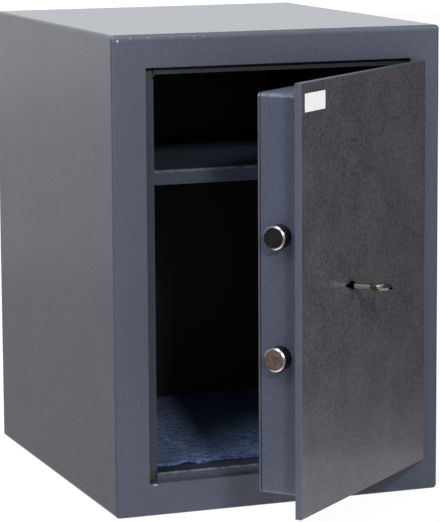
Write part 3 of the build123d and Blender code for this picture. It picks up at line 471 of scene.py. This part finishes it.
def leather_coat(name, dark, light, edge_dark, edge_light):
    """Textured paint on the face that looks along door_out, and smooth paint on all other sides."""
    finish = new_finish(name, Roughness=0.4, Coat_Weight=0.3, Coat_Roughness=0.16)
    coords = step(finish, "ShaderNodeTexCoord")
    place = coords.outputs["Object"]
    on_face = stretch(finish, reach_along(finish, coords.outputs["Normal"], door_out), 0.9, 0.97)
    scatter = step(finish, "ShaderNodeTexNoise", {"Vector": place, "Scale": CELL_SCATTERS})
    nudge = step(finish, "ShaderNodeVectorMath", {0: scatter.outputs["Color"], 3: CELL_NUDGE},
                 operation="SCALE")
    nudged = step(finish, "ShaderNodeVectorMath", {0: place, 1: nudge.outputs["Vector"]},
                  operation="ADD")
    cells = step(finish, "ShaderNodeTexVoronoi",
                 {"Vector": nudged.outputs["Vector"], "Scale": 1 / LEATHER_CELL},
                 feature="SMOOTH_F1").outputs["Distance"]
    warp = noise(finish, place, size=0.0035, detail=3.0, rough=0.65)
    fine = noise(finish, place, size=0.0015)
    drift = noise(finish, place, size=0.05, detail=3.0, rough=0.55)
    shade = sums(finish, "MULTIPLY_ADD", warp, 0.5, sums(finish, "MULTIPLY", fine, 0.3))
    shade = sums(finish, "MULTIPLY_ADD", drift, 0.2, shade)
    face = between(finish, stretch(finish, shade, 0.38, 0.62), dark, light)
    edge = between(finish, stretch(finish, fine, 0.36, 0.64), edge_dark, edge_light)
    feed(finish, "Base Color", between(finish, on_face, edge, face))
    height = sums(finish, "MULTIPLY", sums(finish, "SUBTRACT", 1.0, cells), on_face)
    feed(finish, "Normal", relief(finish, height, CELL_DEPTH, under=relief(finish, fine, depth=0.0001)))
    feed(finish, "Roughness", stretch(finish, warp, 0.35, 0.65, to_low=0.38, to_high=0.46))
    return finish


door_coat = leather_coat("door_coat", paint(66, 63, 69), paint(107, 102, 111),
                         paint(70, 76, 92), paint(84, 90, 106))
coat_node(door_coat, "door_plate")

# Sticker. A small blank label of white vinyl film, with its corners cut round. It is stuck on the
# door's face, near the top of the free edge. It glows a little, as painted light that keeps it white.
STICKER_WIDTH = 0.044
STICKER_HEIGHT = 0.018
STICKER_FILM = 0.00028
STICKER_CORNER = 0.0009
STICKER_EDGE = 0.00006
sticker_low, sticker_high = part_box("blank_label")
sticker_middle = (sticker_low + sticker_high) / 2


def hung_on_door(piece, middle):
    """Turns a piece made facing -Y at the origin into the open door's plane, with its middle there."""
    piece.matrix_world = Matrix.Translation(middle) @ door_turn @ piece.matrix_world
    fixed(piece)


bpy.ops.object.select_all(action="DESELECT")
bpy.ops.mesh.primitive_plane_add(size=1.0, rotation=(math.pi / 2, 0, 0))
sticker = named("sticker")
sticker.scale = (STICKER_WIDTH, STICKER_HEIGHT, 1.0)
fixed(sticker)
bpy.ops.object.mode_set(mode="EDIT")
bpy.ops.mesh.select_all(action="SELECT")
bpy.ops.mesh.bevel(offset=STICKER_CORNER, segments=4, affect="VERTICES")
bpy.ops.mesh.subdivide(number_cuts=1)
bpy.ops.object.mode_set(mode="OBJECT")
finished_with(sticker, "SOLIDIFY", thickness=STICKER_FILM, offset=0.0)
finished_with(sticker, "BEVEL", width=STICKER_EDGE, segments=1, limit_method="ANGLE")
hung_on_door(sticker, sticker_middle)
# The film glows faintly: painted light, not a lamp.
glowing_vinyl = new_finish("glowing_vinyl", Roughness=0.32, Coat_Weight=0.3, Coat_Roughness=0.2,
                   Emission_Color=(1, 1, 1, 1), Emission_Strength=0.31)
vinyl_soil = noise(glowing_vinyl, object_place(glowing_vinyl), size=0.008, detail=4.0, rough=0.6)
feed(glowing_vinyl, "Base Color", between(glowing_vinyl, stretch(glowing_vinyl, vinyl_soil, 0.4, 0.75),
                                  paint(246, 247, 246), paint(232, 234, 233)))
feed(glowing_vinyl, "Normal", relief(glowing_vinyl, vinyl_soil, depth=0.0001))
sticker.data.materials.append(glowing_vinyl)
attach(sticker, "door")
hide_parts("blank_label")

# Pan and back cover. A folded box wall is welded to the back of the leaf and closed with a screwed-on
# sheet. It holds the boltwork and the lock. Both have the plain blue-grey coat, with a pale highlight
# painted along the pan's upper bend.
pan_coat = powder_coat("pan_coat", paint(68, 74, 90), paint(82, 88, 104),
                       pebble=0.0018, depth=0.0001, roughness=0.3)
pan_normal = step(pan_coat, "ShaderNodeTexCoord").outputs["Normal"]
pan_upward = step(pan_coat, "ShaderNodeSeparateXYZ", {"Vector": pan_normal}).outputs["Z"]
pan_bend = sums(pan_coat, "MULTIPLY", stretch(pan_coat, pan_upward, 0.3, 0.5),
                stretch(pan_coat, pan_upward, 0.97, 0.88))
# Painted highlight on the pan's upper bend, broken into patches.
pan_bend_highlight = sums(pan_coat, "MULTIPLY", pan_bend, patches(pan_coat, 0.012, 0.3, 0.6))
laid_over(pan_coat, pan_bend_highlight, paint(124, 131, 150))
coat_node(pan_coat, "door_pan", "back_cover", "cover_posts")
coat_node(zinc_plate, "cover_screws")

# Boltwork. Two turned bolts slide in bushes inside the pan wall. Their ends are bright chrome with a
# few brown stains, and their turned barrels are painted dark with paler patches, as painted reflection
# of the shaded wall round them. An upright bar of plated flat steel joins them to the lock.
BOLT_RINGS = 0.0021
RING_DEPTH = 0.00013
WAVE_DEPTH = 0.00002
STAIN_DULLING = -0.04
RIM_DULLING = 0.2
chrome = new_finish("chrome", Metallic=1.0)
chrome_coords = step(chrome, "ShaderNodeTexCoord")
chrome_place = chrome_coords.outputs["Object"]
chrome_marks = noise(chrome, chrome_place, size=0.0016, detail=4.0, rough=0.7)
chrome_waves = noise(chrome, chrome_place, size=0.005)
bolt_way = door_turn @ Vector((-1, 0, 0))
endwise = reach_along(chrome, chrome_coords.outputs["Normal"], bolt_way)
# Painted reflection: the barrels are dark with paler patches.
barrel_painted_dark = stretch(chrome, endwise, 0.45, 0.3)
on_rim = stretch(chrome, endwise, 0.96, 0.9)
painted_barrel_reflection = between(chrome, patches(chrome, 0.003, 0.45, 0.62),
                      paint(30, 33, 37), paint(104, 110, 114))
stained = sums(chrome, "MULTIPLY", patches(chrome, 0.005, 0.42, 0.64, detail=4.0, rough=0.65),
               stretch(chrome, endwise, 0.97, 0.99))
end_tone = between(chrome, stained, paint(224, 224, 226), paint(172, 146, 130))
feed(chrome, "Base Color", between(chrome, barrel_painted_dark, end_tone, painted_barrel_reflection))
feed(chrome, "Metallic", sums(chrome, "MULTIPLY_ADD", stained, STAIN_DULLING, 1.0))
feed(chrome, "Roughness", sums(chrome, "MULTIPLY_ADD", on_rim, RIM_DULLING,
                               stretch(chrome, chrome_marks, 0.35, 0.75, to_low=0.06, to_high=0.14)))
ring_turns = sums(chrome, "MULTIPLY", reach_along(chrome, chrome_place, bolt_way),
                  math.tau / BOLT_RINGS)
turned_rings = sums(chrome, "MULTIPLY", barrel_painted_dark, sums(chrome, "SINE", ring_turns))
feed(chrome, "Normal", relief(chrome, turned_rings, RING_DEPTH,
                              under=relief(chrome, chrome_waves, WAVE_DEPTH)))
coat_node(chrome, "bolt_upper", "bolt_lower")
coat_node(zinc_plate, "bolt_bushes", "bolt_bar", "bolt_screws", "tail_screw")

# Lock. Case and cover are pressed from plated sheet, with a hardened plate in front against drilling.
# Inside are the lock bolt, brass levers on a pin, the turning curtain, and a comb of blued leaf springs
# that presses on the levers. The comb is a copy of the imported one, with its doubled points merged, hung on the
# door.
hard_plate = bare_metal("hard_plate", paint(92, 92, 96), paint(120, 120, 124),
                        roughness=0.45, grain=0.0012, depth=0.00004)
spring_blue = bare_metal("spring_blue", paint(78, 88, 112), paint(104, 114, 138),
                         roughness=0.28, grain=0.001, depth=0.00002)
coat_node(zinc_plate, "lock_case", "lock_cover", "lock_screws", "lock_bolt", "lever_pin")
coat_node(hard_plate, "drill_plate", "key_curtain")
coat_node(spring_blue, "lever_springs")
MERGE_REACH = 0.000001
packed_springs = frame["nodes"]["lever_springs"]
spring_comb = bpy.data.objects.new("spring_comb", packed_springs.data.copy())
bpy.context.scene.collection.objects.link(spring_comb)
only(spring_comb)
bpy.ops.object.mode_set(mode="EDIT")
bpy.ops.mesh.select_all(action="SELECT")
bpy.ops.mesh.remove_doubles(threshold=MERGE_REACH)
bpy.ops.object.mode_set(mode="OBJECT")
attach(spring_comb, "door")
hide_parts("lever_springs")
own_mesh(spring_comb)

# Key. Double-bit, nickel-plated, with an oval ring bow that stands level in the keyhole. The bow is
# painted darker than the shaft as its dimmer reflection, and the part at the door is painted black as the shade in
# the keyhole.
key_nickel = bare_metal("key_nickel", paint(196, 193, 182), paint(228, 226, 217),
                        roughness=0.13, grain=0.0012, depth=0.000002)
KEYHOLE_SHADE_REACH = 0.006
KEYHOLE_SHADE_BLEND = 0.001
KEY_STEM = 0.027
BOW_BLEND = 0.003
plate = frame["nodes"]["door_plate"]
door_face = max((plate.matrix_world @ vertex.co).dot(door_out) for vertex in plate.data.vertices)
key_reach = reach_along(key_nickel, object_place(key_nickel), door_out)
# Painted shade: the bow darker than the shaft, and the stem black next to the door.
bow_painted_dim = stretch(key_nickel, key_reach, door_face + KEY_STEM, door_face + KEY_STEM + BOW_BLEND)
keyhole_painted_shade = stretch(key_nickel, key_reach, door_face + KEYHOLE_SHADE_REACH, door_face + KEYHOLE_SHADE_REACH - KEYHOLE_SHADE_BLEND)
laid_over(key_nickel, bow_painted_dim, paint(128, 125, 112))
laid_over(key_nickel, keyhole_painted_shade, paint(22, 22, 20))
coat_node(key_nickel, "key")

# Studio. A pale floor and background, one soft lamp in front, one overhead, one at the left and one
# behind, and dark and grey cards round the object that show only in its reflections.
FLOOR_SIZE = 14.0
FLOOR_PAPER = 0.78
GLOW_SHARE = 0.85
FLOOR_GLOW = 1.12
bpy.ops.object.select_all(action="DESELECT")
bpy.ops.mesh.primitive_plane_add(size=FLOOR_SIZE, location=(0, 0, 0))
floor = named("studio_floor")


def white_to_camera(finish, lit, bright):
    """Mixes a plain white glow over a lit surface for rays from the camera and from shiny things."""
    path = step(finish, "ShaderNodeLightPath")
    seen = sums(finish, "MAXIMUM", path.outputs["Is Camera Ray"],
                sums(finish, "MAXIMUM", path.outputs["Is Glossy Ray"],
                     path.outputs["Is Transmission Ray"]))
    glow = step(finish, "ShaderNodeEmission", {"Color": (1, 1, 1, 1), "Strength": bright})
    mixed = step(finish, "ShaderNodeMixShader",
                 {0: sums(finish, "MULTIPLY", seen, GLOW_SHARE), 1: lit, 2: glow.outputs[0]})
    output = finish.node_tree.nodes["Material Output"]
    finish.node_tree.links.new(mixed.outputs[0], output.inputs["Surface"])


floor_paper = new_finish("floor_paper", Roughness=0.9, Specular_IOR_Level=0.0,
                         Base_Color=(FLOOR_PAPER, FLOOR_PAPER, FLOOR_PAPER, 1))
white_to_camera(floor_paper, shader_of(floor_paper).outputs[0], FLOOR_GLOW)
floor.data.materials.append(floor_paper)

# Each card has its middle, how it is turned, its size and its glow.
LYING = (0, 0, 0)
FACING_ACROSS = (0, math.pi / 2, 0)
FACING_FRONT = (math.pi / 2, 0, 0)
SCREENS = (((-1.5, -0.75, 0.65), FACING_ACROSS, (1.3, 2.2), (0.0, 0.0, 0.0)),
           ((-0.9, -0.8, 0.005), LYING, (1.2, 1.5), (0.15, 0.105, 0.09)),
           ((-1.1, 0.5, 0.003), LYING, (1.84, 1.7), (0.42, 0.395, 0.39)),
           ((-1.1, 2.85, 0.003), LYING, (1.84, 3.0), (0.56, 0.54, 0.54)),
           ((-1.8, 4.4, 0.8), FACING_FRONT, (3.0, 1.6), (0.9, 0.88, 0.88)),
           ((1.65, -0.2, 0.75), FACING_ACROSS, (1.5, 2.4), (0.0, 0.0, 0.0)),
           ((0.21, -0.15, 0.003), LYING, (0.26, 2.1), (0.72, 0.72, 0.72)),
           ((0.46, -0.15, 0.003), LYING, (0.24, 2.1), (0.22, 0.22, 0.22)),
           ((1.115, -0.15, 0.003), LYING, (1.07, 2.1), (0.0, 0.0, 0.0)))
for number, (spot, turn, size, glow) in enumerate(SCREENS):
    bpy.ops.mesh.primitive_plane_add(size=1.0, location=spot, rotation=turn)
    screen = named(f"studio_screen_{number}")
    screen.scale = (size[0], size[1], 1.0)
    cloth = new_finish(f"screen_cloth_{number}", Roughness=1.0, Specular_IOR_Level=0.0,
                       Base_Color=(0.02, 0.02, 0.02, 1), Emission_Color=(*glow, 1),
                       Emission_Strength=1.0)
    screen.data.materials.append(cloth)
    screen.visible_camera = False
    screen.visible_diffuse = False
    screen.visible_shadow = False

# The sky is white to the camera, pale near the horizon in reflections, and a weak even light otherwise.
SKY_WHITE = 1.15
SKY_OVERHEAD = 0.2
SKY_LIGHT = 0.18
studio = bpy.data.worlds.new("studio")
bpy.context.scene.world = studio
studio.use_nodes = True
sky_path = step(studio, "ShaderNodeLightPath")
sky_way = step(studio, "ShaderNodeTexCoord").outputs["Generated"]
sky_height = step(studio, "ShaderNodeSeparateXYZ", {"Vector": sky_way}).outputs["Z"]
mirrored = stretch(studio, sky_height, 0.3, 0.5, SKY_WHITE, SKY_OVERHEAD)
in_shiny = sums(studio, "MAXIMUM", sky_path.outputs["Is Glossy Ray"],
                sky_path.outputs["Is Transmission Ray"])
sky_lit = stretch(studio, in_shiny, 0.0, 1.0, SKY_LIGHT, mirrored)
sky_seen = stretch(studio, sky_path.outputs["Is Camera Ray"], 0.0, 1.0, sky_lit, SKY_WHITE)
background = studio.node_tree.nodes["Background"]
background.inputs["Color"].default_value = (0.99, 1.02, 1.045, 1)
studio.node_tree.links.new(sky_seen, background.inputs["Strength"])

# Each lamp has its place, the point it shines on, its size and its watts.
LAMPS = (("lamp_front", (-0.405, -3.08, 1.72), (0.0, -0.2, 0.3), 0.36, 42.5),
         ("lamp_overhead", (-1.434, -1.304, 2.99), (0.0, -0.2, 0.3), 1.0, 37.0),
         ("lamp_left", (-2.2, -0.9, 1.6), (0.0, 0.0, 0.3), 1.2, 19.5),
         ("lamp_behind", (2.3, 1.8, 1.9), (0.0, 0.0, 0.3), 1.4, 42.0))
for name, spot, target, size, watts in LAMPS:
    bpy.ops.object.light_add(type="AREA", location=spot)
    lamp = bpy.context.object
    lamp.name = name
    lamp.rotation_euler = (Vector(target) - Vector(spot)).to_track_quat("-Z", "Y").to_euler()
    lamp.data.size = size
    lamp.data.energy = watts
    lamp.visible_glossy = name != "lamp_behind"

# Camera. A long lens a little above the object and to its left, with the small shift that puts the
# safe in its place in the picture.
CAMERA_SPOT = (-1.01789, -2.75149, 0.69815)
CAMERA_AZIMUTH = 20.26
CAMERA_DIP = 8.62
CAMERA_ROLL = -0.40
CAMERA_LENS = 183.42
CAMERA_SENSOR = 36.0
CAMERA_SHIFT = (0.0239, -0.0425)
CAMERA_REACH = 50.0
bpy.ops.object.camera_add(location=CAMERA_SPOT)
camera = bpy.context.object
aimed = Euler((math.radians(90 - CAMERA_DIP), 0, -math.radians(CAMERA_AZIMUTH)), "XYZ").to_matrix()
rolled = Matrix.Rotation(math.radians(CAMERA_ROLL), 3, "Z")
camera.rotation_euler = (aimed @ rolled).to_euler()
camera.data.lens = CAMERA_LENS
camera.data.sensor_width = CAMERA_SENSOR
camera.data.shift_x, camera.data.shift_y = CAMERA_SHIFT
camera.data.clip_end = CAMERA_REACH
bpy.context.scene.camera = camera
bpy.context.scene.view_settings.view_transform = "Standard"
